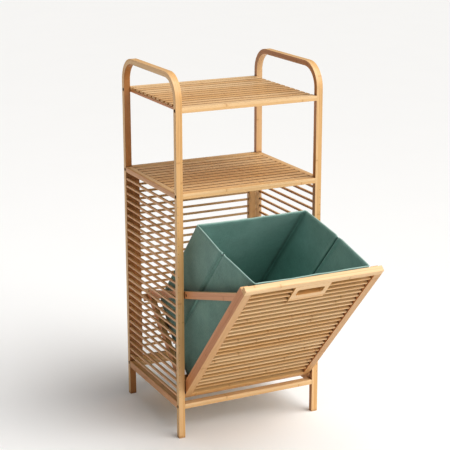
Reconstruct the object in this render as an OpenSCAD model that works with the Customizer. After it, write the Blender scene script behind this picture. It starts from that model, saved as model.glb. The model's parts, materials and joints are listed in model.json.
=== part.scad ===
// Slatted bamboo storage tower with two open shelves and a tilt-out laundry basket.
// Millimetres. +Z is up and -Y is the front. The basket is drawn tilted open, on its stop.
// The origin is on the floor, midway between the foremost and rearmost points.

/* [Overall size] */
// Height to the top of the side hoops
tower_h = 940; // [900:1:980]
// Width over the side hoops
tower_w = 406; // [380:1:430]
// Depth over the legs
tower_d = 342; // [330:1:360]

/* [Side hoops] */
// Width of the bent strip, across the tower
strip_w = 17; // [15:0.5:20]
// Thickness of the bent strip
strip_t = 13.5; // [12.5:0.5:15]
// Outer radius of the hoop's two bends
hoop_r = 64; // [50:1:80]

/* [Shelves] */
// Height of the top shelf's upper face
top_shelf_z = 859; // [840:1:870]
// Height of the middle shelf's upper face
middle_shelf_z = 646; // [640:1:660]
// Height of the top shelf's rails
top_rail_h = 13; // [12:0.5:16]
// Height of the middle shelf's rails
middle_rail_h = 14; // [12:0.5:16]
// Depth of each shelf's front rail
front_rail_d = 26; // [20:1:30]
// Depth of the top shelf's back rail
top_back_rail_d = 18; // [14:1:26]
// Depth of the middle shelf's back rail
middle_back_rail_d = 26; // [16:1:30]
// Number of slats in a shelf
shelf_slats = 11; // [8:1:12]
// Width of a shelf slat
shelf_slat_w = 19; // [15:0.5:20]
// Thickness of a shelf slat
shelf_slat_t = 6; // [5:0.5:9]
// Width of the cleats under the slats' ends
cleat_w = 15; // [10:1:18]

/* [Lower rails] */
// Height of the lower rails' underside
lower_rail_z = 79; // [60:1:80]
// Height of the front lower rail
lower_front_rail_h = 13; // [12:0.5:16]
// Depth of the front lower rail
lower_front_rail_d = 20; // [16:1:26]
// Height of the side lower rails
lower_side_rail_h = 18; // [16:0.5:20]
// Height of the back lower rail
lower_back_rail_h = 28; // [24:1:32]

/* [Side and back panels] */
// Side of a panel slat's square section
panel_slat = 5.5; // [4:0.5:7]
// Height of the lowest side slat's middle
first_slat_z = 114; // [110:1:120]
// Spacing of the panel slats
panel_pitch = 20; // [18:0.5:22]
// Width of the back panel's stiles
back_stile_w = 22; // [18:1:26]

/* [Tilting basket] */
// Height of the hinge axis
pivot_z = 123; // [120:1:126]
// Angle of the open basket
open_angle = 42; // [35:1:45]
// Gap between the basket and each front leg
side_gap = 2; // [1.5:0.1:3]
// Gap between the closed door and the middle shelf
door_top_gap = 3; // [3:0.5:8]
// Width of a door stile
stile_w = 20; // [18:1:24]
// Depth of a door stile
stile_d = 25; // [22:1:28]
// Height of the door's top rail
door_rail_h = 17; // [14:1:20]
// Depth of the door's top rail
door_rail_d = 15; // [13:1:18]
// Distance that the door reaches below the hinge axis
door_tail = 22; // [20:1:24]
// Number of slats in the door
door_slat_count = 24; // [20:1:25]
// Height of a door slat
door_slat_h = 6; // [4:0.5:8]
// Depth of a door slat
door_slat_d = 12; // [8:1:14]
// Width of a brace, and height of a base bar
brace_w = 18; // [16:0.5:20]
// Thickness of the braces and base bars
brace_t = 12; // [10:1:14]
// Distance from the hinge axis to the base's rear end
base_len = 307; // [290:1:310]

/* [Handle] */
// Width of the handle frame
handle_w = 96; // [80:2:120]
// Width of the finger opening
finger_w = 72; // [60:2:90]
// Height of the finger opening
finger_h = 23; // [20:1:26]
// Height of the lip above the finger opening
handle_lip = 15; // [10:1:16]
// Depth of the handle frame
handle_d = 17; // [15:1:18]
// Radius of the finger opening's corners
finger_r = 5; // [3:0.5:8]

/* [Bag] */
// Width of the bag at its corners
bag_w = 308; // [280:2:312]
// Outward bulge of each side wall at its middle crease
bag_bulge = 7; // [4:0.5:8]
// Depth of the bag
bag_d = 273; // [250:1:274]
// Height of the bag's rear rim above the hinge axis
bag_rear_h = 341; // [300:1:380]
// Wall thickness of the bag's stiffened fabric
bag_t = 2.5; // [2:0.1:4]

/* [Hardware] */
// Radius of the frame bolts' shanks
bolt_r = 3; // [2.5:0.1:3]
// Radius of the frame bolts' heads
bolt_head_r = 4.5; // [4:0.1:5]
// Length of a frame bolt under its head
bolt_len = 45; // [35:1:50]
// Radius of the brads that hold the side slats
brad_r = 0.8; // [0.6:0.1:1]
// Length of a brad
brad_len = 25; // [20:1:30]
// Radius of the hinge pins
pin_r = 3; // [2.5:0.1:3.5]
// Radius of the stop dowels
stop_r = 5; // [4:0.5:5.5]

/* [Hidden] */
$fn = 64;

bamboo = [0.80, 0.60, 0.38];
steel = [0.25, 0.25, 0.26];
nylon = [0.88, 0.87, 0.82];
cloth = [0.27, 0.40, 0.36];

// Frame: faces of the legs, and heights of the rails
front_y = -tower_d / 2;
back_y = tower_d / 2;
outer_x = tower_w / 2;
inner_x = outer_x - strip_w;
leg_back_y = front_y + strip_t;
rear_leg_front_y = back_y - strip_t;
leg_mid_y = back_y - strip_t / 2;
top_rail_z = top_shelf_z - top_rail_h;
middle_rail_z = middle_shelf_z - middle_rail_h;
lower_front_rail_top = lower_rail_z + lower_front_rail_h;
back_rail_drop = 2;
lower_back_rail_z = lower_rail_z - back_rail_drop;
lower_back_rail_top = lower_back_rail_z + lower_back_rail_h;

// Frame bolts: a bolt at each end of the six cross rails, as [y, z]
bolt_recess = 1.5;
bolt_head_h = 5;
bolt_seat_x = outer_x - bolt_recess - bolt_head_h;
bolt_socket_r = 2.6;
bolt_socket_d = 3;
insert_len = 15;
insert_r = 4.5;
bolt_places = [
    [-leg_mid_y, top_rail_z + top_rail_h / 2],
    [leg_mid_y, top_rail_z + top_rail_h / 2],
    [-leg_mid_y, middle_rail_z + middle_rail_h / 2],
    [leg_mid_y, middle_rail_z + middle_rail_h / 2],
    [-leg_mid_y, lower_rail_z + lower_front_rail_h / 2],
    [leg_mid_y, lower_back_rail_z + lower_back_rail_h / 2],
];

// Panels: slats from the lower rail to just under the middle shelf
slat_inset = 0.5;
last_slat_z = middle_rail_z - panel_pitch / 2 - panel_slat;
side_slat_count = floor((last_slat_z - first_slat_z) / panel_pitch) + 1;
back_slat_count = side_slat_count - 1;

// Basket: measured from the hinge axis, +Y' to the rear and +Z' up along the closed door
pivot_y = -leg_mid_y;
door_front = front_y - pivot_y;
stile_back = door_front + stile_d;
basket_x = inner_x - side_gap;
stile_in_x = basket_x - stile_w;
door_top = sqrt(pow(middle_rail_z - door_top_gap - pivot_z, 2) - pow(door_rail_d + door_front, 2));
stile_top = door_top - door_rail_h;
door_bottom_rail_h = 18;
door_bottom_rail_d = 13;
first_row = 17;
last_row_drop = 19.5;
row_inset = 2;
row_pitch = (stile_top - last_row_drop - first_row) / (door_slat_count - 1);
short_rows = 3;
full_rows = door_slat_count - short_rows;
handle_bottom = first_row + full_rows * row_pitch - door_slat_h / 2;
finger_top = stile_top - handle_lip;
base_top = 1;
base_bottom = base_top - brace_w;
base_slat_t = 6;
base_slat_w = 20;
base_slat_places = [45, 125, 205];
brace_in_x = basket_x - brace_t;
brace_top_drop = 29;
brace_top = stile_top - brace_top_drop;
brace_rear_y = base_len - 2;
brace_slope = (brace_top - base_top) / (brace_rear_y - stile_back);
brace_drop = brace_w * sqrt(1 + pow(brace_slope, 2));
cross_rail_w = 18;
rest_gap = 0.3;
cross_rail_bottom = lower_rail_z + lower_side_rail_h + rest_gap - pivot_z;
slat_face_x = outer_x - slat_inset - panel_slat;
slat_gap = 2;
cross_rail_x = slat_face_x - slat_gap;
pin_play = 0.05;
pin_in_leg = 11;
pin_in_stile = 14;
pin_end_gap = 0.5;
washer_r = 7;
washer_play = 0.4;
washer_t = side_gap - washer_play;
dowel_r = 3;
screw_r = 2;
screw_head_r = 4;
screw_head_h = 3;
screw_recess = 0.5;
screw_seat_x = basket_x - screw_recess - screw_head_h;
screw_lead = 9;
stop_socket_d = 7;

// Bag: clear of the door's slats and of the rear cross rail
bag_gap = 1.75;
bag_front = door_front + handle_d + bag_gap;
bag_bottom = base_bottom + rest_gap;
bag_front_drop = 2;
bag_front_h = door_top - bag_front_drop;

// Place along a brace whose height above the floor plane is fixed by a y in the open pose
brace_mid_top = brace_top - brace_drop / 2;
function brace_h(y) = brace_mid_top - brace_slope * (y - stile_back);
brace_at_hinge = brace_mid_top + brace_slope * stile_back;
function brace_y_at(open_y) = (open_y - pivot_y + brace_at_hinge * sin(open_angle))
    / (cos(open_angle) + brace_slope * sin(open_angle));
stop_y = brace_y_at(leg_back_y + stop_r + rest_gap);
brace_bolt_y = brace_y_at(front_y - screw_lead);

// The open door's top front edge is the foremost line of the whole piece
foremost_y = pivot_y + door_front * cos(open_angle) - door_top * sin(open_angle);
origin_y = (foremost_y + back_y) / 2;

module in_frame() {
    translate([0, -origin_y, 0]) children();
}

module in_basket() {
    in_frame() translate([0, pivot_y, pivot_z]) rotate([open_angle, 0, 0]) children();
}

module left_side() {
    mirror([1, 0, 0]) children();
}

module both_sides() {
    children();
    mirror([1, 0, 0]) children();
}

// A block between two opposite corners
module block(low, high) {
    translate(low) cube(high - low);
}

// A round bar along X, from x0 to x1
module x_bar(x0, x1, y, z, r) {
    translate([x0, y, z]) rotate([0, 90, 0]) cylinder(h = x1 - x0, r = r);
}

// A quarter of a ring in the YZ plane, strip_w wide, starting at the angle turn
module bend(turn) {
    rotate([90, 0, 90]) rotate([0, 0, turn]) rotate_extrude(angle = 90, $fn = 96)
        translate([hoop_r - strip_t, 0]) square([strip_t, strip_w]);
}

// Right-hand hoop: two legs, two bends and the top, bored for the bolts and the hinge pin
module hoop() {
    color(bamboo) in_frame() difference() {
        union() {
            block([inner_x, front_y, 0], [outer_x, leg_back_y, tower_h - hoop_r]);
            block([inner_x, rear_leg_front_y, 0], [outer_x, back_y, tower_h - hoop_r]);
            block([inner_x, front_y + hoop_r, tower_h - strip_t], [outer_x, back_y - hoop_r, tower_h]);
            translate([inner_x, back_y - hoop_r, tower_h - hoop_r]) bend(0);
            translate([inner_x, front_y + hoop_r, tower_h - hoop_r]) bend(90);
        }
        for (p = bolt_places) {
            x_bar(inner_x - 1, outer_x, p[0], p[1], bolt_r);
            x_bar(bolt_seat_x, outer_x + 1, p[0], p[1], bolt_head_r);
        }
        x_bar(inner_x - 1, inner_x + pin_in_leg, pivot_y, pivot_z, pin_r);
    }
}

module left_hoop() {
    left_side() hoop();
}

module right_hoop() {
    hoop();
}

// A rail between the legs, bored at both ends for an insert and its bolt; bolt is the bolt's [y, z]
module cross_rail(y0, y1, z0, z1, bolt) {
    color(bamboo) in_frame() difference() {
        block([-inner_x, y0, z0], [inner_x, y1, z1]);
        both_sides() {
            x_bar(inner_x - insert_len, inner_x + 1, bolt[0], bolt[1], insert_r);
            x_bar(bolt_seat_x - bolt_len - 1, inner_x, bolt[0], bolt[1], bolt_r);
        }
    }
}

module top_shelf_front_rail() {
    cross_rail(front_y, front_y + front_rail_d, top_rail_z, top_shelf_z, bolt_places[0]);
}

module top_shelf_back_rail() {
    cross_rail(back_y - top_back_rail_d, back_y, top_rail_z, top_shelf_z, bolt_places[1]);
}

module middle_shelf_front_rail() {
    cross_rail(front_y, front_y + front_rail_d, middle_rail_z, middle_shelf_z, bolt_places[2]);
}

module middle_shelf_back_rail() {
    cross_rail(back_y - middle_back_rail_d, back_y, middle_rail_z, middle_shelf_z, bolt_places[3]);
}

module lower_front_rail() {
    cross_rail(front_y, front_y + lower_front_rail_d, lower_rail_z, lower_front_rail_top, bolt_places[4]);
}

module lower_back_rail() {
    cross_rail(rear_leg_front_y, back_y, lower_back_rail_z, lower_back_rail_top, bolt_places[5]);
}

// Cleat that carries the slats' ends, from the front rail to y1
module cleat(y1, z0, z1) {
    color(bamboo) in_frame() block([inner_x - cleat_w, front_y + front_rail_d, z0], [inner_x, y1, z1]);
}

module top_cleat() {
    cleat(back_y - top_back_rail_d, top_rail_z, top_shelf_z - shelf_slat_t);
}

module middle_cleat() {
    cleat(back_y - middle_back_rail_d, middle_rail_z, middle_shelf_z - shelf_slat_t);
}

module top_shelf_left_cleat() {
    left_side() top_cleat();
}

module top_shelf_right_cleat() {
    top_cleat();
}

module middle_shelf_left_cleat() {
    left_side() middle_cleat();
}

module middle_shelf_right_cleat() {
    middle_cleat();
}

// Evenly spaced slats from the front rail to y1, with their upper faces at z
module shelf(y1, z) {
    y0 = front_y + front_rail_d;
    gap = (y1 - y0 - shelf_slats * shelf_slat_w) / (shelf_slats + 1);
    color(bamboo) in_frame() for (i = [0 : shelf_slats - 1]) {
        y = y0 + gap + i * (shelf_slat_w + gap);
        block([-inner_x, y, z - shelf_slat_t], [inner_x, y + shelf_slat_w, z]);
    }
}

module top_shelf_slats() {
    shelf(back_y - top_back_rail_d, top_shelf_z);
}

module middle_shelf_slats() {
    shelf(back_y - middle_back_rail_d, middle_shelf_z);
}

// Rail between a hoop's two legs
module side_rail(z0, h) {
    color(bamboo) in_frame() block([inner_x, leg_back_y, z0], [outer_x, rear_leg_front_y, z0 + h]);
}

module middle_shelf_left_rail() {
    left_side() side_rail(middle_rail_z, middle_rail_h);
}

module middle_shelf_right_rail() {
    side_rail(middle_rail_z, middle_rail_h);
}

module lower_left_rail() {
    left_side() side_rail(lower_rail_z, lower_side_rail_h);
}

module lower_right_rail() {
    side_rail(lower_rail_z, lower_side_rail_h);
}

module side_slats() {
    color(bamboo) in_frame() for (i = [0 : side_slat_count - 1]) {
        z = first_slat_z + i * panel_pitch - panel_slat / 2;
        block([slat_face_x, leg_back_y, z], [slat_face_x + panel_slat, rear_leg_front_y, z + panel_slat]);
    }
}

module left_side_slats() {
    left_side() side_slats();
}

module right_side_slats() {
    side_slats();
}

// A brad through each leg into the end of each side slat
module slat_brads() {
    x = slat_face_x + panel_slat / 2;
    color(steel) in_frame() both_sides() for (i = [0 : side_slat_count - 1]) {
        z = first_slat_z + i * panel_pitch;
        for (y = [front_y, back_y - brad_len])
            translate([x, y, z]) rotate([-90, 0, 0]) cylinder(h = brad_len, r = brad_r, $fn = 16);
    }
}

module back_stile() {
    color(bamboo) in_frame()
        block([inner_x - back_stile_w, rear_leg_front_y, lower_back_rail_top],
            [inner_x, back_y, middle_rail_z]);
}

module back_left_stile() {
    left_side() back_stile();
}

module back_right_stile() {
    back_stile();
}

module back_slats() {
    x = inner_x - back_stile_w;
    color(bamboo) in_frame() for (i = [1 : back_slat_count]) {
        z = first_slat_z + i * panel_pitch - panel_slat / 2;
        block([-x, leg_mid_y - panel_slat / 2, z], [x, leg_mid_y + panel_slat / 2, z + panel_slat]);
    }
}

module frame_bolts() {
    color(steel) in_frame() both_sides() for (p = bolt_places) difference() {
        union() {
            x_bar(bolt_seat_x - bolt_len, bolt_seat_x, p[0], p[1], bolt_r);
            x_bar(bolt_seat_x, bolt_seat_x + bolt_head_h, p[0], p[1], bolt_head_r);
        }
        translate([bolt_seat_x + bolt_head_h - bolt_socket_d, p[0], p[1]]) rotate([0, 90, 0])
            cylinder(h = bolt_socket_d + 1, r = bolt_socket_r, $fn = 6);
    }
}

module threaded_inserts() {
    color(steel) in_frame() both_sides() for (p = bolt_places) difference() {
        x_bar(inner_x - insert_len, inner_x, p[0], p[1], insert_r);
        x_bar(inner_x - insert_len - 1, inner_x + 1, p[0], p[1], bolt_r);
    }
}

module hinge_pins() {
    color(steel) in_frame() both_sides()
        x_bar(basket_x - pin_in_stile + pin_end_gap, inner_x + pin_in_leg, pivot_y, pivot_z, pin_r);
}

module hinge_washers() {
    color(nylon) in_frame() both_sides() difference() {
        x_bar(inner_x - washer_t, inner_x, pivot_y, pivot_z, washer_r);
        x_bar(inner_x - washer_t - 1, inner_x + 1, pivot_y, pivot_z, pin_r);
    }
}

// Dowels that join the basket's bars, on the right-hand side
module dowels() {
    rail_mid = door_front + door_rail_d / 2;
    stile_mid_x = (basket_x + stile_in_x) / 2;
    brace_mid_x = basket_x - brace_t / 2;
    base_mid = (base_top + base_bottom) / 2;
    translate([stile_mid_x, rail_mid, stile_top - 15]) cylinder(h = 25, r = dowel_r);
    x_bar(stile_in_x - 15, stile_in_x + 8, door_front + door_bottom_rail_d / 2, -door_tail + 7, dowel_r);
    translate([brace_mid_x, stile_back + 15, base_mid]) rotate([90, 0, 0]) cylinder(h = 26, r = dowel_r);
    translate([brace_mid_x, base_len - cross_rail_w / 2, cross_rail_bottom + 2])
        cylinder(h = base_top - cross_rail_bottom - 6, r = dowel_r);
}

module basket_dowels() {
    color(bamboo) in_basket() both_sides() dowels();
}

module door_stile() {
    color(bamboo) in_basket() difference() {
        block([stile_in_x, door_front, -door_tail], [basket_x, stile_back, stile_top]);
        x_bar(basket_x - pin_in_stile, basket_x + 1, 0, 0, pin_r + pin_play);
        dowels();
    }
}

module door_left_stile() {
    left_side() door_stile();
}

module door_right_stile() {
    door_stile();
}

module door_top_rail() {
    color(bamboo) in_basket() difference() {
        block([-basket_x, door_front, stile_top], [basket_x, door_front + door_rail_d, door_top]);
        both_sides() dowels();
    }
}

module door_bottom_rail() {
    color(bamboo) in_basket() difference() {
        block([-stile_in_x, door_front, -door_tail],
            [stile_in_x, door_front + door_bottom_rail_d, door_bottom_rail_h - door_tail]);
        both_sides() dowels();
    }
}

// Door slat number i, between x0 and x1
module door_row(i, x0, x1) {
    z = first_row + i * row_pitch - door_slat_h / 2;
    y = door_front + row_inset;
    block([x0, y, z], [x1, y + door_slat_d, z + door_slat_h]);
}

module door_slats() {
    color(bamboo) in_basket() for (i = [0 : full_rows - 1]) door_row(i, -stile_in_x, stile_in_x);
}

module door_short_slats() {
    color(bamboo) in_basket()
        for (i = [full_rows : door_slat_count - 1]) door_row(i, handle_w / 2, stile_in_x);
}

module door_left_short_slats() {
    left_side() door_short_slats();
}

module door_right_short_slats() {
    door_short_slats();
}

// Finger opening: a slot with rounded corners, from before the handle frame to behind it
module finger_slot() {
    x = finger_w / 2 - finger_r;
    low = finger_top - finger_h;
    y0 = door_front - 1;
    y1 = door_front + handle_d + 1;
    block([-x, y0, low], [x, y1, finger_top]);
    block([-x - finger_r, y0, low + finger_r], [x + finger_r, y1, finger_top - finger_r]);
    for (side = [-1, 1], z = [low + finger_r, finger_top - finger_r])
        translate([side * x, y0, z]) rotate([-90, 0, 0]) cylinder(h = y1 - y0, r = finger_r);
}

module handle_frame() {
    color(bamboo) in_basket() difference() {
        block([-handle_w / 2, door_front, handle_bottom], [handle_w / 2, door_front + handle_d, stile_top]);
        finger_slot();
    }
}

module base_bar() {
    color(bamboo) in_basket() difference() {
        block([brace_in_x, stile_back, base_bottom], [basket_x, base_len, base_top]);
        dowels();
    }
}

module left_base_bar() {
    left_side() base_bar();
}

module right_base_bar() {
    base_bar();
}

// Brace from high on the stile down to the rear end of the base bar
module brace() {
    color(bamboo) in_basket() difference() {
        translate([brace_in_x, 0, 0]) rotate([90, 0, 90]) linear_extrude(brace_t) polygon([
            [stile_back, brace_top], [brace_rear_y, base_top],
            [brace_rear_y - brace_drop / brace_slope, base_top], [stile_back, brace_top - brace_drop],
        ]);
        x_bar(basket_x - stop_socket_d, basket_x + 1, stop_y, brace_h(stop_y), stop_r);
        x_bar(brace_in_x - 1, basket_x, brace_bolt_y, brace_h(brace_bolt_y), screw_r);
        x_bar(screw_seat_x, basket_x + 1, brace_bolt_y, brace_h(brace_bolt_y), screw_head_r);
    }
}

module left_brace() {
    left_side() brace();
}

module right_brace() {
    brace();
}

// Flat rail under the base bars; its ends come down on the side lower rails when the basket shuts
module rear_cross_rail() {
    color(bamboo) in_basket() difference() {
        block([-cross_rail_x, base_len - cross_rail_w, cross_rail_bottom],
            [cross_rail_x, base_len, base_bottom]);
        both_sides() dowels();
    }
}

module base_slats() {
    color(bamboo) in_basket() for (y = base_slat_places)
        block([-basket_x, y - base_slat_w / 2, base_bottom - base_slat_t],
            [basket_x, y + base_slat_w / 2, base_bottom]);
}

// Dowels that stand out of the braces and meet the front legs' rear faces when the basket is open
module stop_dowels() {
    color(bamboo) in_basket() both_sides()
        x_bar(basket_x - stop_socket_d, slat_face_x - slat_gap, stop_y, brace_h(stop_y), stop_r);
}

module brace_bolts() {
    y = brace_bolt_y;
    color(steel) in_basket() both_sides() union() {
        x_bar(brace_in_x, screw_seat_x, y, brace_h(y), screw_r);
        x_bar(screw_seat_x, screw_seat_x + screw_head_h, y, brace_h(y), screw_head_r);
    }
}

// Closed outline of the bag, drawn in by d on every wall and open at the rim where d > 0
module bag_body(d) {
    rear = bag_front + bag_d;
    mid = bag_front + bag_d / 2;
    half = bag_w / 2 - d;
    floor_z = bag_bottom + d;
    rise = (d > 0) ? 50 : 0;
    intersection() {
        translate([0, 0, floor_z]) linear_extrude(bag_front_h + 2 * rise - floor_z) polygon([
            [-half, bag_front + d], [half, bag_front + d], [half + bag_bulge, mid],
            [half, rear - d], [-half, rear - d], [-half - bag_bulge, mid],
        ]);
        translate([-bag_w, 0, 0]) rotate([90, 0, 90]) linear_extrude(2 * bag_w) polygon([
            [bag_front + d, floor_z], [rear - d, floor_z],
            [rear - d, bag_rear_h + rise], [bag_front + d, bag_front_h + rise],
        ]);
    }
}

module laundry_bag() {
    color(cloth) in_basket() difference() {
        bag_body(0);
        bag_body(bag_t);
    }
}

left_hoop();
right_hoop();
top_shelf_front_rail();
top_shelf_back_rail();
top_shelf_left_cleat();
top_shelf_right_cleat();
top_shelf_slats();
middle_shelf_front_rail();
middle_shelf_back_rail();
middle_shelf_left_rail();
middle_shelf_right_rail();
middle_shelf_left_cleat();
middle_shelf_right_cleat();
middle_shelf_slats();
lower_front_rail();
lower_back_rail();
lower_left_rail();
lower_right_rail();
left_side_slats();
right_side_slats();
back_left_stile();
back_right_stile();
back_slats();
frame_bolts();
threaded_inserts();
slat_brads();
hinge_pins();
hinge_washers();
door_left_stile();
door_right_stile();
door_top_rail();
door_bottom_rail();
door_slats();
door_left_short_slats();
door_right_short_slats();
handle_frame();
left_base_bar();
right_base_bar();
left_brace();
right_brace();
rear_cross_rail();
base_slats();
basket_dowels();
stop_dowels();
brace_bolts();
laundry_bag();
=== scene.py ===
"""Looks for the bamboo storage tower with a tilt-out laundry basket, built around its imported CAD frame."""

import json
import math

import bmesh
import bpy
from mathutils import Matrix, Vector, noise


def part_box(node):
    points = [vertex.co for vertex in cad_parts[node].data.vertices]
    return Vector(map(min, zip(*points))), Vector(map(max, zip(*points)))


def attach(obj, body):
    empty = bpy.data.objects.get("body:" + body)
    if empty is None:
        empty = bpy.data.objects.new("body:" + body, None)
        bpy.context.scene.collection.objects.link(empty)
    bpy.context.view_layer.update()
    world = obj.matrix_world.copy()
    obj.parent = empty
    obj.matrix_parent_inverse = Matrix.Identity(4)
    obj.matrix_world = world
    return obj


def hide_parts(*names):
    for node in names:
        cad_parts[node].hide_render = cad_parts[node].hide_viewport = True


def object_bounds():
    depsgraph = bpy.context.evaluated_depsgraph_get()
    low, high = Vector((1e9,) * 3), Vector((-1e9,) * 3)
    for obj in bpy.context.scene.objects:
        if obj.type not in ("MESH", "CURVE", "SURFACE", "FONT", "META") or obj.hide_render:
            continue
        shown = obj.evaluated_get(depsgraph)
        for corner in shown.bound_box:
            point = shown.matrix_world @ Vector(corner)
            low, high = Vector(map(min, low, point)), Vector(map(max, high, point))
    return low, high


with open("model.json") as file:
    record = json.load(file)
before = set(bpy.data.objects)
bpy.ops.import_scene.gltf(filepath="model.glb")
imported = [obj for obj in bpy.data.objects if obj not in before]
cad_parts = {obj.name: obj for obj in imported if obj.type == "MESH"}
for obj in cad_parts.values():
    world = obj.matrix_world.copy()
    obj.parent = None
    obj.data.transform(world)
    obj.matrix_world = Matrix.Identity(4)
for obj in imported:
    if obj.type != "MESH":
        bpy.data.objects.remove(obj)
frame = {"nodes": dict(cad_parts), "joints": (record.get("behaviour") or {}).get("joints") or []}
cad_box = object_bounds()

# ---------------------------------------------------------------- places taken from the frame

NODES = frame["nodes"]
JOINT = frame["joints"][0]
PIVOT = Vector(JOINT["pos_m"])
OPEN_ANGLE = math.radians(-JOINT["range_deg"][0])
BASKET = Matrix.Translation(PIVOT) @ Matrix.Rotation(OPEN_ANGLE, 4, "X")
TO_BASKET = BASKET.inverted()
UP = Vector((0, 0, 1))
ACROSS = Vector((1, 0, 0))
BACK = Vector((0, 1, 0))
DOOR_UP = BASKET.to_3x3() @ UP
DOOR_IN = BASKET.to_3x3() @ BACK


def basket_box(node):
    """Lowest and highest corner of a basket node, measured in the basket's own upright frame."""
    points = [TO_BASKET @ v.co for v in NODES[node].data.vertices]
    low = Vector([min(p[i] for p in points) for i in range(3)])
    high = Vector([max(p[i] for p in points) for i in range(3)])
    return low, high


# ---------------------------------------------------------------- shader helpers


def add(tree, kind, values=None, **settings):
    """Adds a shader node, sets its properties, and sets or links its inputs."""
    made = tree.nodes.new("ShaderNode" + kind)
    for key, value in settings.items():
        setattr(made, key, value)
    for key, value in (values or {}).items():
        if isinstance(value, bpy.types.NodeSocket):
            tree.links.new(value, made.inputs[key])
        else:
            made.inputs[key].default_value = value
    return made


def maths(tree, operation, *values):
    """One arithmetic step; each value is a number or a socket."""
    return add(tree, "Math", dict(enumerate(values)), operation=operation).outputs[0]


def along(tree, place, direction):
    """Distance of a point along a direction."""
    return add(tree, "VectorMath", {0: place, 1: direction}, operation="DOT_PRODUCT").outputs["Value"]


def vector(tree, x, y, z):
    """Joins three values to a vector."""
    return add(tree, "CombineXYZ", {"X": x, "Y": y, "Z": z}).outputs[0]


def scaled(tree, uvw, factors):
    """Multiplies three values by three factors and joins them to a vector."""
    u, v, w = (maths(tree, "MULTIPLY", c, f) for c, f in zip(uvw, factors))
    return vector(tree, u, v, w)


def ramp(tree, factor, low, high, to_low=0.0, to_high=1.0, smooth=True):
    """Maps a range of a value to another range, held at both ends."""
    values = {"Value": factor, "From Min": low, "From Max": high, "To Min": to_low, "To Max": to_high}
    kind = "SMOOTHSTEP" if smooth else "LINEAR"
    return add(tree, "MapRange", values, interpolation_type=kind).outputs[0]


def mix(tree, factor, a, b, blend="MIX"):
    """Mixes two colours."""
    made = add(tree, "Mix", {"Factor": factor}, data_type="RGBA", blend_type=blend)
    for socket, colour in (("A", a), ("B", b)):
        target = [s for s in made.inputs if s.name == socket and s.type == "RGBA"][0]
        if isinstance(colour, bpy.types.NodeSocket):
            tree.links.new(colour, target)
        else:
            target.default_value = (*colour, 1)
    return [s for s in made.outputs if s.type == "RGBA"][0]


def noise_value(tree, place, scale, detail, roughness=0.5):
    """A noise texture's value, from 0 to 1."""
    values = {"Vector": place, "Scale": scale, "Detail": detail, "Roughness": roughness}
    return add(tree, "TexNoise", values).outputs[0]


def open_sky(tree, reach):
    """How open a point's surroundings are within a distance: 1 is open, 0 is shut in."""
    return add(tree, "AmbientOcclusion", {"Distance": reach}, samples=12).outputs["AO"]


def bumped(tree, shader, height, strength, distance):
    """Gives a shader fine relief."""
    bump = add(tree, "Bump", {"Strength": strength, "Distance": distance, "Height": height})
    tree.links.new(bump.outputs[0], shader.inputs["Normal"])


def new_material(name, roughness=0.5, **settings):
    """A material with one Principled shader; settings go on the shader's own sockets."""
    material = bpy.data.materials.new(name)
    material.use_nodes = True
    shader = material.node_tree.nodes["Principled BSDF"]
    shader.inputs["Roughness"].default_value = roughness
    for key, value in settings.items():
        shader.inputs[key.replace("_", " ")].default_value = value
    return material, material.node_tree, shader


def object_place(tree):
    """The point's place in the object's own coordinates."""
    return add(tree, "TexCoord").outputs["Object"]


# ---------------------------------------------------------------- bamboo

BAMBOO_LIGHT = (0.775, 0.535, 0.295)
BAMBOO_MID = (0.65, 0.375, 0.15)
BAMBOO_DARK = (0.34, 0.14, 0.040)
# The next colour is painted shade, laid into narrow slots and inside corners
BAMBOO_PAINTED_SHADE = (0.15, 0.055, 0.013)
PAINTED_SHADE_REACH = 0.012

# Painted shade on faces that look a certain way, and painted warm shade on the handle's lip: (direction,
# tint, strength)
FLANK_SHADE_TINT = (0.78, 0.50, 0.40)
SHADED_FLANKS = [(ACROSS, FLANK_SHADE_TINT, 0.6), (-ACROSS, FLANK_SHADE_TINT, 0.6)]
DEEP_SHADED_FLANKS = [(ACROSS, FLANK_SHADE_TINT, 0.95), (-ACROSS, FLANK_SHADE_TINT, 0.95)]
SHELF_SLOT_SHADE = [(BACK, (0.30, 0.18, 0.10), 0.85), (-BACK, (0.30, 0.18, 0.10), 0.85)]
HANDLE_LIP_WARM_SHADE = [(DOOR_UP, (1.0, 0.80, 0.58), 0.9)]
RIGHT_HOOP_INSIDE_SHADE = [(-ACROSS, (0.62, 0.42, 0.30), 0.9)]
SHADED_STILE_FACES = DEEP_SHADED_FLANKS + [(-DOOR_IN, (0.80, 0.72, 0.66), 0.9)]
SHADED_STILE = [(-BACK, (0.58, 0.40, 0.29), 0.9)]

# Cycles per metre of the grain's marks: along the grain, across and through
FIBRES = (5, 420, 420)
PORES = (28, 2100, 2100)
CLOUDS = (3.5, 24, 24)
END_DOTS = 900.0

# Distance between the culm's joints, and the most that two strips' patterns are shifted apart
JOINT_PITCH = 0.36
STRIP_SHIFT = 7.0
STRIP_SEED = 3.7

# A hoop's bends: radius of the outside, and of the line where the darker inside face begins, partly a darker
# layer and partly painted shade
BEND_RADIUS = 0.064
CORE_RADIUS = BEND_RADIUS - 0.0134


def strip_index(tree, value, offset, size):
    """Number of the strip that a coordinate falls in."""
    return maths(tree, "FLOOR", maths(tree, "DIVIDE", maths(tree, "SUBTRACT", value, offset), size))


def culm_joints(tree, shifted, fibres):
    """The culm's joints: a thin line across each strip, and a wider band round it."""
    turn = maths(tree, "FRACT", maths(tree, "DIVIDE", shifted, JOINT_PITCH))
    wobble = maths(tree, "MULTIPLY", maths(tree, "SUBTRACT", fibres, 0.5), 0.012)
    turn = maths(tree, "ADD", turn, wobble)
    distance = maths(tree, "ABSOLUTE", maths(tree, "SUBTRACT", turn, 0.5))
    return ramp(tree, distance, 0.002, 0.009, 1.0, 0.0), ramp(tree, distance, 0.01, 0.045, 1.0, 0.0)


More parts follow.
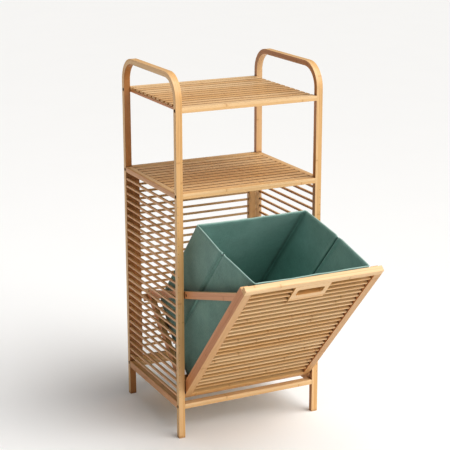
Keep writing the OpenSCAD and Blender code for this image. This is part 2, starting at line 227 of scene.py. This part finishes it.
def long_grain(tree, chance, fibres, pores, cloud, joint_line, joint_band):
    """Colour of faces along the grain: strips of different tones with streaks, specks and joints."""
    tone = maths(tree, "ADD", maths(tree, "MULTIPLY", chance, 0.55), maths(tree, "MULTIPLY", cloud, 0.55))
    base = mix(tree, ramp(tree, tone, 0.15, 0.95), BAMBOO_LIGHT, BAMBOO_MID)
    base = mix(tree, ramp(tree, fibres, 0.5, 0.78, 0.0, 0.55), base, BAMBOO_DARK)
    base = mix(tree, ramp(tree, pores, 0.6, 0.8, 0.0, 0.35), base, BAMBOO_DARK)
    base = mix(tree, maths(tree, "MULTIPLY", joint_band, 0.22), base, BAMBOO_MID)
    return mix(tree, maths(tree, "MULTIPLY", joint_line, 0.35), base, BAMBOO_DARK)


def end_grain(tree, grain, across, through):
    """Colour of cut ends, where the fibre bundles show as dark dots."""
    place = scaled(tree, (grain, across, through), (0, 1, 1))
    values = {"Vector": place, "Scale": END_DOTS, "Randomness": 0.8}
    dots = add(tree, "TexVoronoi", values).outputs["Distance"]
    return mix(tree, ramp(tree, dots, 0.25, 0.5, 1.0, 0.0), BAMBOO_MID, BAMBOO_DARK)


def bamboo_shader(name, coordinates, cells=(0.021, 0.0063), offsets=(0.0, 0.0), dark_core=0.0, faces=()):
    """Laminated bamboo. coordinates(tree, place) gives (along the grain, across, through).

    cells is the width and thickness of the strips that the piece is glued up from.
    The darkening on the inside of a bent piece's bends is partly a darker layer and partly painted shade.
    faces holds directions, each with the tint that the faces looking that way take, and its strength: painted
    shade for how light falls on them."""
    material, tree, shader = new_material(name, Coat_Weight=0.12, Coat_Roughness=0.32, Specular_IOR_Level=0.4)
    texture = add(tree, "TexCoord")
    grain, across, through = coordinates(tree, texture.outputs["Object"])
    column = strip_index(tree, across, offsets[0], cells[0])
    layer = strip_index(tree, through, offsets[1], cells[1])
    strip = add(tree, "TexWhiteNoise", {"Vector": vector(tree, column, layer, STRIP_SEED)},
                noise_dimensions="3D")
    chance = strip.outputs["Value"]
    shifted = maths(tree, "ADD", grain, maths(tree, "MULTIPLY", chance, STRIP_SHIFT))
    place = (shifted, across, through)
    fibres = noise_value(tree, scaled(tree, place, FIBRES), 1.0, 5.0, 0.6)
    pores = noise_value(tree, scaled(tree, place, PORES), 1.0, 2.0)
    cloud = noise_value(tree, scaled(tree, place, CLOUDS), 1.0, 3.0)
    joint_line, joint_band = culm_joints(tree, shifted, fibres)

    base = long_grain(tree, chance, fibres, pores, cloud, joint_line, joint_band)
    at_end = ramp(tree, coordinates(tree, texture.outputs["Normal"], ends=True), 0.75, 0.9)
    base = mix(tree, at_end, base, end_grain(tree, grain, across, through))
    # Painted shade: faces looking each given way are tinted darker for how light falls on them
    for direction, tint, strength in faces:
        towards = along(tree, texture.outputs["Normal"], direction)
        base = mix(tree, ramp(tree, towards, 0.45, 0.85, 0.0, strength), base, tint, "MULTIPLY")
    # Darker inside of the bends: a darker layer, and on the left hoop mostly painted shade
    if dark_core:
        core = ramp(tree, through, CORE_RADIUS, CORE_RADIUS + 0.0009, dark_core, 0.0)
        base = mix(tree, core, base, BAMBOO_DARK)
    # Painted shade: narrow slots and inside corners are darkened in the colour, where they gather less light
    painted_shade = ramp(tree, open_sky(tree, PAINTED_SHADE_REACH), 0.30, 0.90, 0.8, 0.0)
    tree.links.new(mix(tree, painted_shade, base, BAMBOO_PAINTED_SHADE), shader.inputs["Base Color"])

    tree.links.new(ramp(tree, fibres, 0.3, 0.8, 0.36, 0.52), shader.inputs["Roughness"])
    height = maths(tree, "ADD", maths(tree, "MULTIPLY", fibres, 0.6), maths(tree, "MULTIPLY", pores, 0.4))
    height = maths(tree, "SUBTRACT", height, maths(tree, "MULTIPLY", joint_line, 0.5))
    bumped(tree, shader, height, 0.35, 0.0002)
    return material


def straight(grain, across, through):
    """Coordinates for a straight bar whose grain runs along one direction."""
    def coordinates(tree, place, ends=False):
        if ends:
            return maths(tree, "ABSOLUTE", along(tree, place, grain))
        return along(tree, place, grain), along(tree, place, across), along(tree, place, through)
    return coordinates


SIDEWAYS = straight(ACROSS, BACK, UP)
REARWARD = straight(BACK, ACROSS, UP)
DOOR_WIDE = straight(ACROSS, DOOR_UP, DOOR_IN)


def bent(node, radius):
    """Coordinates for a hoop: the grain runs up a leg, round the bend and along the top."""
    low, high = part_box(node)
    middle = (low.y + high.y) / 2
    flat = (high.y - low.y) / 2 - radius
    spring = high.z - radius

    def coordinates(tree, place, ends=False):
        if ends:
            return ramp(tree, along(tree, place, UP), -0.99, -0.98, 1.0, 0.0)
        across = along(tree, place, ACROSS)
        side = maths(tree, "SUBTRACT", along(tree, place, BACK), middle)
        out = maths(tree, "SUBTRACT", maths(tree, "ABSOLUTE", side), flat)
        rise = maths(tree, "SUBTRACT", along(tree, place, UP), spring)
        out_only = maths(tree, "MAXIMUM", out, 0.0)
        rise_only = maths(tree, "MAXIMUM", rise, 0.0)
        arc = maths(tree, "MULTIPLY", maths(tree, "ARCTAN2", rise_only, out_only), radius)
        run = maths(tree, "SUBTRACT", maths(tree, "MINIMUM", rise, 0.0), maths(tree, "MINIMUM", out, 0.0))
        square = maths(tree, "ADD", maths(tree, "POWER", out_only, 2.0), maths(tree, "POWER", rise_only, 2.0))
        side_of = maths(tree, "MULTIPLY", maths(tree, "SIGN", side), 0.9)
        grain = maths(tree, "ADD", maths(tree, "ADD", run, arc), side_of)
        return grain, across, maths(tree, "SQRT", square)
    return coordinates


def paint(node, material):
    """Gives a CAD node a new material."""
    slots = NODES[node].data.materials
    slots.clear()
    slots.append(material)


def soften(node, width=0.0011, segments=2):
    """Rounds a CAD node's sharp edges a little, as sanding does."""
    weld = NODES[node].modifiers.new("weld", "WELD")
    weld.merge_threshold = 0.00002
    flatten = NODES[node].modifiers.new("flatten", "DECIMATE")
    flatten.decimate_type = "DISSOLVE"
    flatten.angle_limit = math.radians(1)
    bevel = NODES[node].modifiers.new("bevel", "BEVEL")
    bevel.width = width
    bevel.segments = segments
    bevel.limit_method = "ANGLE"
    bevel.angle_limit = math.radians(40)
    bevel.use_clamp_overlap = True


def lay(node, coordinates, rounding=0.0011, segments=2, **settings):
    """Gives a CAD node its own bamboo and rounds its edges; settings go to bamboo_shader."""
    paint(node, bamboo_shader("bamboo_" + node, coordinates, **settings))
    soften(node, rounding, segments)


def slat_pitch(node, direction):
    """Distance between the middles of a node's first and second slat."""
    spots = sorted({round(v.co.dot(direction), 5) for v in NODES[node].data.vertices})
    return spots[2] - spots[0]


def dress_hoops():
    """The bent hoops, in three thin layers."""
    # The left hoop's much darker inside is mostly painted shade
    for node, dark_core, faces in (("left_hoop", 0.9, ()), ("right_hoop", 0.2, RIGHT_HOOP_INSIDE_SHADE)):
        lay(node, bent(node, BEND_RADIUS), rounding=0.0022, segments=3, cells=(0.0175, 0.0045),
            dark_core=dark_core, faces=faces)


def dress_shelves():
    """Slats, rails and cleats of both shelves."""
    for shelf in ("top_shelf", "middle_shelf"):
        slats = shelf + "_slats"
        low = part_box(slats)[0]
        lay(slats, SIDEWAYS, cells=(slat_pitch(slats, BACK), 0.02), offsets=(low.y, low.z - 0.005),
            faces=SHELF_SLOT_SHADE)
        for end in ("front", "back"):
            node = f"{shelf}_{end}_rail"
            lay(node, SIDEWAYS, rounding=0.0025, segments=3, cells=(0.0132, 0.0068),
                offsets=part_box(node)[0].yz)
        for side in ("left", "right"):
            lay(f"{shelf}_{side}_cleat", REARWARD, faces=DEEP_SHADED_FLANKS)


def dress_rails():
    """The rails under the basket and beside the middle shelf."""
    for node in ("lower_front_rail", "lower_back_rail"):
        lay(node, SIDEWAYS, rounding=0.0018, segments=3, cells=(0.0145, 0.007), offsets=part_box(node)[0].yz)
    for place in ("middle_shelf", "lower"):
        for side in ("left", "right"):
            lay(f"{place}_{side}_rail", REARWARD, rounding=0.0015, cells=(0.018, 0.0072), faces=SHADED_FLANKS)


def dress_panels():
    """The thin slats of the sides and the back, and the back's uprights."""
    for node, coordinates, faces in (("left_side_slats", straight(BACK, UP, ACROSS), SHADED_FLANKS),
                                     ("right_side_slats", straight(BACK, UP, ACROSS), SHADED_FLANKS),
                                     ("back_slats", straight(ACROSS, UP, BACK), ())):
        pitch = slat_pitch(node, UP)
        offsets = (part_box(node)[0].z - pitch / 2, -1)
        lay(node, coordinates, rounding=0.0008, cells=(pitch, 0.5), offsets=offsets, faces=faces)
    for node, faces in (("back_left_stile", SHADED_STILE), ("back_right_stile", ())):
        lay(node, straight(UP, ACROSS, BACK), rounding=0.0015, cells=(0.0115, 0.007), faces=faces)


def dress_door():
    """The door's stiles, rails, handle and slats, and the rail that joins the base bars."""
    for side in ("left", "right"):
        lay(f"door_{side}_stile", straight(DOOR_UP, ACROSS, DOOR_IN), rounding=0.0028, segments=3,
            cells=(0.0205, 0.0065), faces=SHADED_STILE_FACES)
    for node, faces in (("door_top_rail", ()), ("door_bottom_rail", ()), ("rear_cross_rail", ()),
                        ("handle_frame", HANDLE_LIP_WARM_SHADE)):
        lay(node, DOOR_WIDE, rounding=0.0022, segments=3, cells=(0.021, 0.0078), faces=faces)
    first = basket_box("door_slats")[0].z + PIVOT.dot(DOOR_UP)
    points = sorted({round((TO_BASKET @ v.co).z, 5) for v in NODES["door_slats"].data.vertices})
    pitch = points[2] - points[0]
    for node in ("door_slats", "door_left_short_slats", "door_right_short_slats"):
        lay(node, DOOR_WIDE, rounding=0.0012, cells=(pitch, 0.5), offsets=(first - pitch / 3, -1))


def dress_base():
    """Base bars, braces, base slats and dowels of the basket."""
    for side in ("left", "right"):
        lay(side + "_base_bar", straight(DOOR_IN, ACROSS, DOOR_UP), rounding=0.0015,
            cells=(0.0125, 0.0092), faces=DEEP_SHADED_FLANKS)
        node = side + "_brace"
        low, high = basket_box(node)
        lean = Vector((0, high.y - low.y, low.z - high.z)).normalized()
        grain = BASKET.to_3x3() @ lean
        lay(node, straight(grain, grain.cross(ACROSS), ACROSS), rounding=0.0015,
            cells=(0.0195, 0.0065), faces=DEEP_SHADED_FLANKS)
    lay("base_slats", straight(ACROSS, DOOR_IN, DOOR_UP))
    for node in ("stop_dowels", "basket_dowels"):
        paint(node, bamboo_shader("bamboo_" + node, straight(ACROSS, UP, BACK), (0.02, 0.02)))


dress_hoops()
dress_shelves()
dress_rails()
dress_panels()
dress_door()
dress_base()

# ---------------------------------------------------------------- steel and nylon

STEEL_ROUGHNESS = 0.42


def steel_shader():
    """Blackened steel with rubbed spots and fine turning marks."""
    material, tree, shader = new_material("black_steel", STEEL_ROUGHNESS, Metallic=1.0)
    place = object_place(tree)
    patches = noise_value(tree, place, 420.0, 4.0)
    marks = noise_value(tree, place, 2600.0, 2.0)
    tone = mix(tree, ramp(tree, patches, 0.42, 0.68), (0.055, 0.05, 0.048), (0.16, 0.15, 0.14))
    tree.links.new(tone, shader.inputs["Base Color"])
    rough = ramp(tree, patches, 0.3, 0.7, STEEL_ROUGHNESS - 0.1, STEEL_ROUGHNESS + 0.15)
    tree.links.new(rough, shader.inputs["Roughness"])
    bumped(tree, shader, marks, 0.3, 0.00005)
    return material


def nylon_shader():
    """Black nylon, a little cloudy."""
    material, tree, shader = new_material("nylon", 0.45, Subsurface_Weight=0.1)
    cloud = noise_value(tree, object_place(tree), 300.0, 3.0)
    tree.links.new(mix(tree, cloud, (0.075, 0.065, 0.055), (0.045, 0.04, 0.036)), shader.inputs["Base Color"])
    bumped(tree, shader, cloud, 0.2, 0.0001)
    return material


def dress_hardware():
    """Bolts, brads, pins and inserts in steel, washers in nylon."""
    black = steel_shader()
    for node in ("frame_bolts", "slat_brads", "brace_bolts", "hinge_pins", "threaded_inserts"):
        paint(node, black)
    paint("hinge_washers", nylon_shader())
    for node in ("frame_bolts", "brace_bolts", "hinge_washers"):
        soften(node, 0.0003)


dress_hardware()

# ---------------------------------------------------------------- the cloth bag

BAG_LOW, BAG_HIGH = basket_box("laundry_bag")
BAG_POINTS = [TO_BASKET @ v.co for v in NODES["laundry_bag"].data.vertices]
BAG_REAR_TOP = max(p.z for p in BAG_POINTS if p.y > BAG_HIGH.y - 0.001)
BAG_CORNER_X = max(p.x for p in BAG_POINTS if p.y > BAG_HIGH.y - 0.001)
BAG_MIDDLE = (BAG_LOW.y + BAG_HIGH.y) / 2
BAG_WALL = 0.0022
BAG_CORNER = 0.004
CORNER_STEPS = 4
WALL_STEPS = 40
SIDE_STEPS = 34
BAG_ROWS = 44
FLOOR_RINGS = 6
HEM = 0.020
HEM_LIFT = 0.0004
RIM_DIP = 0.003
FOOT_HEIGHT = 0.012
FOOT_INSET = 0.002
NOTCH_DEPTH = 0.010
NOTCH_HALF = 0.0028
# The pinched fold down the middle of each side wall: (distance from the fold, how far the wall moves in)
CREASE = ((0.0, -0.0020), (0.0012, -0.0008), (0.0030, 0.0028), (0.0065, 0.0018), (0.0120, 0.0))


def rim_height(y):
    """Height of the bag's rim at a distance to the rear, falling in a straight line."""
    share = (y - BAG_LOW.y) / (BAG_HIGH.y - BAG_LOW.y)
    return BAG_HIGH.z + (BAG_REAR_TOP - BAG_HIGH.z) * share


def wall_points(start, end, kind, steps, crease=frozenset()):
    """Points along one wall between its corners, packed closely where the crease is."""
    shares = {round(i / steps, 5) for i in range(1, steps)}
    if crease:
        shares = {share for share in shares if not min(crease) <= share <= max(crease)} | crease
    points = []
    for share in sorted(shares):
        x = start[0] + (end[0] - start[0]) * share
        y = start[1] + (end[1] - start[1]) * share
        points.append([x, y, kind, share])
    return points


def corner_points(x, y, turn):
    """Points round one rounded corner."""
    points = []
    for i in range(CORNER_STEPS + 1):
        share = i / CORNER_STEPS
        angle = turn + math.pi / 2 * share
        points.append([x + BAG_CORNER * math.cos(angle), y + BAG_CORNER * math.sin(angle), "corner", share])
    return points


def bag_outline():
    """Points round the bag, as (x, y, kind, share), seen from above and starting at the front left corner."""
    half, low, high = BAG_CORNER_X, BAG_LOW.y, BAG_HIGH.y
    inner_x = half - BAG_CORNER
    front_y, rear_y = low + BAG_CORNER, high - BAG_CORNER
    run = rear_y - front_y
    crease = frozenset(round(0.5 + side * distance / run, 5) for distance, _ in CREASE for side in (-1, 1))
    points = wall_points((-inner_x, low), (inner_x, low), "front", WALL_STEPS)
    points += corner_points(inner_x, front_y, -math.pi / 2)
    points += wall_points((half, front_y), (half, rear_y), "right", SIDE_STEPS, crease)
    points += corner_points(inner_x, rear_y, 0)
    points += wall_points((inner_x, high), (-inner_x, high), "rear", WALL_STEPS)
    points += corner_points(-inner_x, rear_y, math.pi / 2)
    points += wall_points((-half, rear_y), (-half, front_y), "left", SIDE_STEPS, crease)
    points += corner_points(-inner_x, front_y, math.pi)
    bulge = BAG_HIGH.x - half
    for point in points:
        if point[2] in ("left", "right"):
            out = bulge * (1 - abs(point[1] - BAG_MIDDLE) / (BAG_MIDDLE - low))
            point[0] += math.copysign(out, point[0])
    return points


def crease_depth(distance):
    """How far the wall moves in at a distance from the fold down its middle."""
    for (near, depth), (far, next_depth) in zip(CREASE, CREASE[1:]):
        if distance <= far:
            return depth + (next_depth - depth) * (distance - near) / (far - near)
    return 0.0


def bag_sag(x, y, z, kind, share, rise):
    """How far a point of the bag's wall moves inward: slack between the corners, folds and small ripples."""
    if kind == "corner":
        return 0.0
    slack = math.sin(math.pi * share)
    ripple = noise.noise(Vector((x * 14, y * 14, z * 9)))
    ripple += 0.5 * noise.noise(Vector((x * 34, y * 34, z * 26)))
    belly = math.sin(math.pi * min(1.0, rise * 1.1))
    if kind in ("left", "right"):
        panel = abs(math.sin(2 * math.pi * share))
        return panel * (0.0030 * belly + 0.0018 * ripple) + crease_depth(abs(y - BAG_MIDDLE))
    return slack * (0.0028 * belly + 0.0022 * ripple)


def outward_of(x, y, kind):
    """Direction that a point of the outline faces."""
    if kind in ("front", "rear"):
        return Vector((0, math.copysign(1, y - BAG_MIDDLE)))
    if kind in ("left", "right"):
        return Vector((math.copysign(1, x), 0))
    return Vector((math.copysign(1, x), math.copysign(1, y - BAG_MIDDLE))) * 0.75


def wall_height(y, kind, share):
    """Height of the rim at a point of the outline, with the notch at each crease and a slight dip."""
    rim = rim_height(y)
    if kind in ("left", "right"):
        rim -= NOTCH_DEPTH * max(0.0, 1 - abs(y - BAG_MIDDLE) / NOTCH_HALF)
    dip = RIM_DIP * math.sin(math.pi * share) if kind in ("front", "rear") else 0.0
    return rim - dip


def bag_rings(inset):
    """Rings of points from the bag's floor to its rim, drawn in by inset: 0 gives the outer wall."""
    outline = bag_outline()
    hem_side = 1 if inset == 0 else -1
    rings = []
    for row in range(BAG_ROWS + 1):
        rise = row / BAG_ROWS
        ring = []
        for x, y, kind, share in outline:
            rim = wall_height(y, kind, share)
            z = BAG_LOW.z + inset + (rim - BAG_LOW.z - inset) * rise
            pull = inset + bag_sag(x, y, z, kind, share, rise)
            if rim - z < HEM:
                pull -= hem_side * HEM_LIFT
            pull += FOOT_INSET * (1 - min(1.0, (z - BAG_LOW.z) / FOOT_HEIGHT)) ** 2
            outward = outward_of(x, y, kind)
            ring.append(Vector((x - outward.x * pull, y - outward.y * pull, z)))
        rings.append(ring)
    return rings


def bag_floor(mesh, ring, z, flip):
    """Closes the bag's foot with rings that dip a little between its edges."""
    centre = sum((v.co for v in ring), Vector()) / len(ring)
    previous = ring
    for step in range(1, FLOOR_RINGS):
        new = []
        for v in ring:
            point = v.co.lerp(centre, step / FLOOR_RINGS)
            point.z = z + 0.0008 * noise.noise(Vector((point.x * 22, point.y * 22, 1.5)))
            new.append(mesh.verts.new(point))
        bridge(mesh, previous, new, flip)
        previous = new
    face = mesh.faces.new(previous if flip else list(reversed(previous)))
    face.smooth = True


def bridge(mesh, lower, upper, flip=False):
    """Joins two rings of vertices with quads."""
    count = len(lower)
    for i in range(count):
        quad = [lower[i], lower[(i + 1) % count], upper[(i + 1) % count], upper[i]]
        face = mesh.faces.new(list(reversed(quad)) if flip else quad)
        face.smooth = True


def finish_cloth(name, mesh, *materials):
    """Turns a bmesh that is in the basket's upright frame into a bag piece that rides on the basket."""
    bmesh.ops.transform(mesh, matrix=BASKET, verts=mesh.verts)
    bmesh.ops.recalc_face_normals(mesh, faces=mesh.faces)
    data = bpy.data.meshes.new(name)
    mesh.to_mesh(data)
    mesh.free()
    made = bpy.data.objects.new(name, data)
    bpy.context.scene.collection.objects.link(made)
    for material in materials:
        data.materials.append(material)
    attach(made, "basket")
    return made


CLOTH_LIGHT = (0.195, 0.35, 0.30)
CLOTH_DARK = (0.10, 0.205, 0.172)
# The next colour is a painted highlight on the rim's upward edge
CLOTH_PAINTED_HIGHLIGHT = (0.33, 0.48, 0.43)
# The next colour is painted shade for folds, corners and the strip beside a leg
CLOTH_PAINTED_SHADE = (0.035, 0.075, 0.062)
# The lining's colours are paler than the cloth outside: painted light, standing in for light that reaches
# inside the bag
LIT_LINING_LIGHT = (0.36, 0.57, 0.52)
LIT_LINING_DARK = (0.21, 0.38, 0.34)
THREAD_LIGHT = (0.22, 0.37, 0.32)
THREAD_DARK = (0.14, 0.25, 0.21)
WEAVE_PITCH = 0.0011
SLUB_LONG = 60
SLUB_ROUND = 900
FOLD_SHADE_REACH = 0.025
RIM_HIGHLIGHT_FROM = PIVOT.dot(DOOR_UP) + BAG_LOW.z + 0.15


def blend(tree, share, a, b):
    """A value between two values."""
    return add(tree, "Mix", {0: share, 2: a, 3: b}, data_type="FLOAT").outputs[0]


def cloth_shader(name, light, dark):
    """Plain weave of mixed yarns over stiff board. The weave lies in each wall's own plane."""
    material, tree, shader = new_material(name, 0.85, Sheen_Weight=0.35, Sheen_Roughness=0.5,
                                          Specular_IOR_Level=0.25)
    texture = add(tree, "TexCoord")
    place, normal = texture.outputs["Object"], texture.outputs["Normal"]
    x, y, z = (along(tree, place, d) for d in (ACROSS, DOOR_IN, DOOR_UP))
    facing_side = ramp(tree, maths(tree, "ABSOLUTE", along(tree, normal, ACROSS)), 0.45, 0.55)
    facing_floor = ramp(tree, maths(tree, "ABSOLUTE", along(tree, normal, DOOR_UP)), 0.65, 0.75)
    level = blend(tree, facing_side, x, y)
    rising = blend(tree, facing_floor, z, y)
    warp = maths(tree, "SINE", maths(tree, "MULTIPLY", level, math.tau / WEAVE_PITCH))
    weft = maths(tree, "SINE", maths(tree, "MULTIPLY", rising, math.tau / WEAVE_PITCH))
    weave = maths(tree, "MULTIPLY", warp, weft)
    slub_up = noise_value(tree, scaled(tree, (level, rising, z), (SLUB_ROUND, SLUB_LONG, 10)), 1.0, 3.0)
    slub_across = noise_value(tree, scaled(tree, (level, rising, z), (SLUB_LONG, SLUB_ROUND, 10)), 1.0, 3.0)
    yarn = blend(tree, ramp(tree, weave, -0.2, 0.2), slub_up, slub_across)
    cloud = noise_value(tree, place, 18.0, 4.0)
    tone = maths(tree, "ADD", maths(tree, "MULTIPLY", yarn, 0.75), maths(tree, "MULTIPLY", cloud, 0.3))
    base = mix(tree, ramp(tree, tone, 0.3, 0.75), dark, light)

    # Painted shade: folds, corners and the strip beside a leg are darkened in the colour, where they gather
    # less light
    painted_shade = ramp(tree, open_sky(tree, FOLD_SHADE_REACH), 0.35, 0.95, 0.8, 0.0)
    base = mix(tree, painted_shade, base, CLOTH_PAINTED_SHADE)

    # Painted highlight: the rim's upward-facing edge is paler than the walls
    lit_top_edge = ramp(tree, along(tree, normal, DOOR_UP), 0.35, 0.8)
    well_up = ramp(tree, z, RIM_HIGHLIGHT_FROM, RIM_HIGHLIGHT_FROM + 0.01)
    base = mix(tree, maths(tree, "MULTIPLY", lit_top_edge, well_up), base, CLOTH_PAINTED_HIGHLIGHT)
    tree.links.new(base, shader.inputs["Base Color"])
    height = maths(tree, "ADD", maths(tree, "MULTIPLY", weave, 0.5), yarn)
    bumped(tree, shader, height, 0.5, 0.00025)
    return material


def make_bag():
    """The bag's shell: outer wall, rim, inner wall and double floor in one closed mesh."""
    mesh = bmesh.new()
    outer = [[mesh.verts.new(p) for p in ring] for ring in bag_rings(0.0)]
    inner = [[mesh.verts.new(p) for p in ring] for ring in bag_rings(BAG_WALL)]
    for low, high in zip(outer, outer[1:]):
        bridge(mesh, low, high)
    bridge(mesh, outer[-1], inner[-1])
    bag_floor(mesh, outer[0], BAG_LOW.z, False)
    outside_faces = len(mesh.faces)
    for low, high in zip(inner, inner[1:]):
        bridge(mesh, low, high, flip=True)
    bag_floor(mesh, inner[0], BAG_LOW.z + BAG_WALL, True)
    mesh.faces.ensure_lookup_table()
    for face in mesh.faces[outside_faces:]:
        face.material_index = 1
    cloth = cloth_shader("bag_cloth", CLOTH_LIGHT, CLOTH_DARK)
    # The lining is the same cloth made paler: painted light
    lining = cloth_shader("bag_lining_painted_light", LIT_LINING_LIGHT, LIT_LINING_DARK)
    bag = finish_cloth("laundry_bag_cloth", mesh, cloth, lining)
    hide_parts("laundry_bag")


STITCH_PITCH = 0.0046
STITCH_LENGTH = 0.0030
THREAD_RADIUS = 0.00032
THREAD_SIDES = 6
SEAM_BELOW_RIM = HEM - 0.003
# Along a stitch, as shares of its length, and how thick the thread is there
STITCH_PROFILE = ((-0.5, 0.35), (-0.36, 1.0), (0.36, 1.0), (0.5, 0.35))


def stitch_at(mesh, place, direction, out):
    """One stitch: a short thread with rounded ends, half sunk in the cloth."""
    side = direction.cross(out).normalized()
    rings = []
    for share, swell in STITCH_PROFILE:
        ring = []
        for i in range(THREAD_SIDES):
            angle = math.tau * i / THREAD_SIDES
            offset = (side * math.cos(angle) + out * math.sin(angle)) * THREAD_RADIUS * swell
            ring.append(mesh.verts.new(place + direction * STITCH_LENGTH * share + offset))
        rings.append(ring)
    for low, high in zip(rings, rings[1:]):
        bridge(mesh, low, high)
    mesh.faces.new(list(reversed(rings[0]))).smooth = True
    mesh.faces.new(rings[-1]).smooth = True


def point_below_rim(column, drop):
    """The point of a column of the wall that lies a distance below the rim."""
    target = column[-1].z - drop
    below = max((p for p in column if p.z <= target), key=lambda p: p.z)
    above = min((p for p in column if p.z > target), key=lambda p: p.z)
    return below.lerp(above, (target - below.z) / (above.z - below.z))


def hem_seam(rings, facing):
    """The seam round the bag, as (point, direction the cloth faces) pairs."""
    line = [point_below_rim(column, SEAM_BELOW_RIM) for column in zip(*rings)]
    middle = Vector((0, BAG_MIDDLE, 0))
    count = len(line)
    points = []
    for i, point in enumerate(line):
        direction = line[(i + 1) % count] - line[i - 1]
        direction.z = 0
        out = direction.cross(UP).normalized()
        if out.dot(point - middle) < 0:
            out = -out
        points.append((point, out * facing))
    return points


def corner_seams(rings, facing):
    """The seams down the front and rear walls, one beside each corner."""
    outline = bag_outline()
    count = len(outline)
    for i, (_, y, kind, _) in enumerate(outline):
        neighbours = (outline[(i + 1) % count][2], outline[i - 1][2])
        if kind in ("front", "rear") and "corner" in neighbours:
            out = Vector((0, math.copysign(1, y - BAG_MIDDLE), 0)) * facing
            yield [(ring[i], out) for ring in rings[2:-2]]


def sew(mesh, points, closed=True):
    """Stitches at an even pitch along a line of (point, outward) pairs."""
    following = points[1:] + points[:1] if closed else points[1:]
    travelled, next_at = 0.0, STITCH_PITCH / 2
    for (start, out_a), (end, out_b) in zip(points, following):
        length = (end - start).length
        while length > 0 and next_at <= travelled + length:
            share = (next_at - travelled) / length
            place = start.lerp(end, share)
            stitch_at(mesh, place, (end - start).normalized(), out_a.lerp(out_b, share).normalized())
            next_at += STITCH_PITCH
        travelled += length


def make_stitching():
    """Rows of thread on both faces of the cloth: round the hem and down beside the corners."""
    mesh = bmesh.new()
    walls = ((bag_rings(0.0), 1), (bag_rings(BAG_WALL), -1))
    for rings, facing in walls:
        sew(mesh, hem_seam(rings, facing))
    for rings, facing in walls:
        for seam in corner_seams(rings, facing):
            sew(mesh, seam, closed=False)
    finish_cloth("bag_stitching", mesh, cloth_shader("bag_thread", THREAD_LIGHT, THREAD_DARK))


make_bag()
make_stitching()

# ---------------------------------------------------------------- floor, light and camera

ROOM_LIGHT = 0.22
FLOOR_HALF = 40.0
FLOOR_COLOUR = (0.95, 0.95, 0.95)


def floor_shader():
    """Pale matt floor, a little uneven in tone."""
    material, tree, shader = new_material("pale_floor", 0.8)
    cloud = noise_value(tree, object_place(tree), 3.0, 2.0)
    darker = tuple(0.985 * c for c in FLOOR_COLOUR)
    tree.links.new(mix(tree, cloud, FLOOR_COLOUR, darker), shader.inputs["Base Color"])
    return material


def make_floor():
    """A wide floor under the tower's feet, which also fills the background."""
    mesh = bmesh.new()
    bmesh.ops.create_grid(mesh, x_segments=8, y_segments=8, size=FLOOR_HALF)
    data = bpy.data.meshes.new("floor")
    mesh.to_mesh(data)
    mesh.free()
    floor = bpy.data.objects.new("floor", data)
    floor.location.z = cad_box[0][2]
    bpy.context.scene.collection.objects.link(floor)
    data.materials.append(floor_shader())


def add_light(name, kind, place, target, power, colour=(1, 1, 1), **settings):
    """A light that faces a point; settings go on its data."""
    data = bpy.data.lights.new(name, kind)
    data.energy = power
    data.color = colour
    for key, value in settings.items():
        setattr(data, key, value)
    light = bpy.data.objects.new(name, data)
    light.location = place
    light.rotation_euler = (Vector(target) - Vector(place)).to_track_quat("-Z", "Y").to_euler()
    bpy.context.scene.collection.objects.link(light)


def make_lights():
    """A broad key from the front right and overhead, weak fills, and a dim room with a white backdrop."""
    middle = (0, 0, 0.5)
    add_light("key", "SUN", (1.5, -1.5, 2.6), middle, 2.85, (1.0, 0.985, 0.96), angle=math.radians(62))
    add_light("front_fill", "AREA", (-0.35, -3.4, 1.5), middle, 6.5, shape="SQUARE", size=1.4)
    add_light("top", "AREA", (0.0, -0.2, 2.6), middle, 8, shape="SQUARE", size=1.2)
    add_light("left_fill", "AREA", (-2.0, -1.3, 0.9), (0, 0, 0.4), 2.0, shape="SQUARE", size=0.3)
    world = bpy.data.worlds.new("studio")
    world.use_nodes = True
    tree = world.node_tree
    background = tree.nodes["Background"]
    background.inputs["Color"].default_value = (1.0, 1.0, 1.0, 1)
    seen = add(tree, "LightPath").outputs["Is Camera Ray"]
    tree.links.new(ramp(tree, seen, 0, 1, ROOM_LIGHT, 1.0, smooth=False), background.inputs["Strength"])
    bpy.context.scene.world = world


def make_camera():
    """A long lens from the front left, higher than the tower and looking down at it."""
    data = bpy.data.cameras.new("camera")
    data.sensor_width = 36.0
    data.lens = 108.2
    camera = bpy.data.objects.new("camera", data)
    camera.location = (-1.5001, -2.9204, 1.4727)
    camera.rotation_euler = (math.radians(90 - 15.80), math.radians(0.08), math.radians(-26.106))
    bpy.context.scene.collection.objects.link(camera)
    bpy.context.scene.camera = camera


make_floor()
make_lights()
make_camera()
bpy.context.scene.view_settings.view_transform = "Standard"
bpy.context.scene.view_settings.look = "Medium High Contrast"
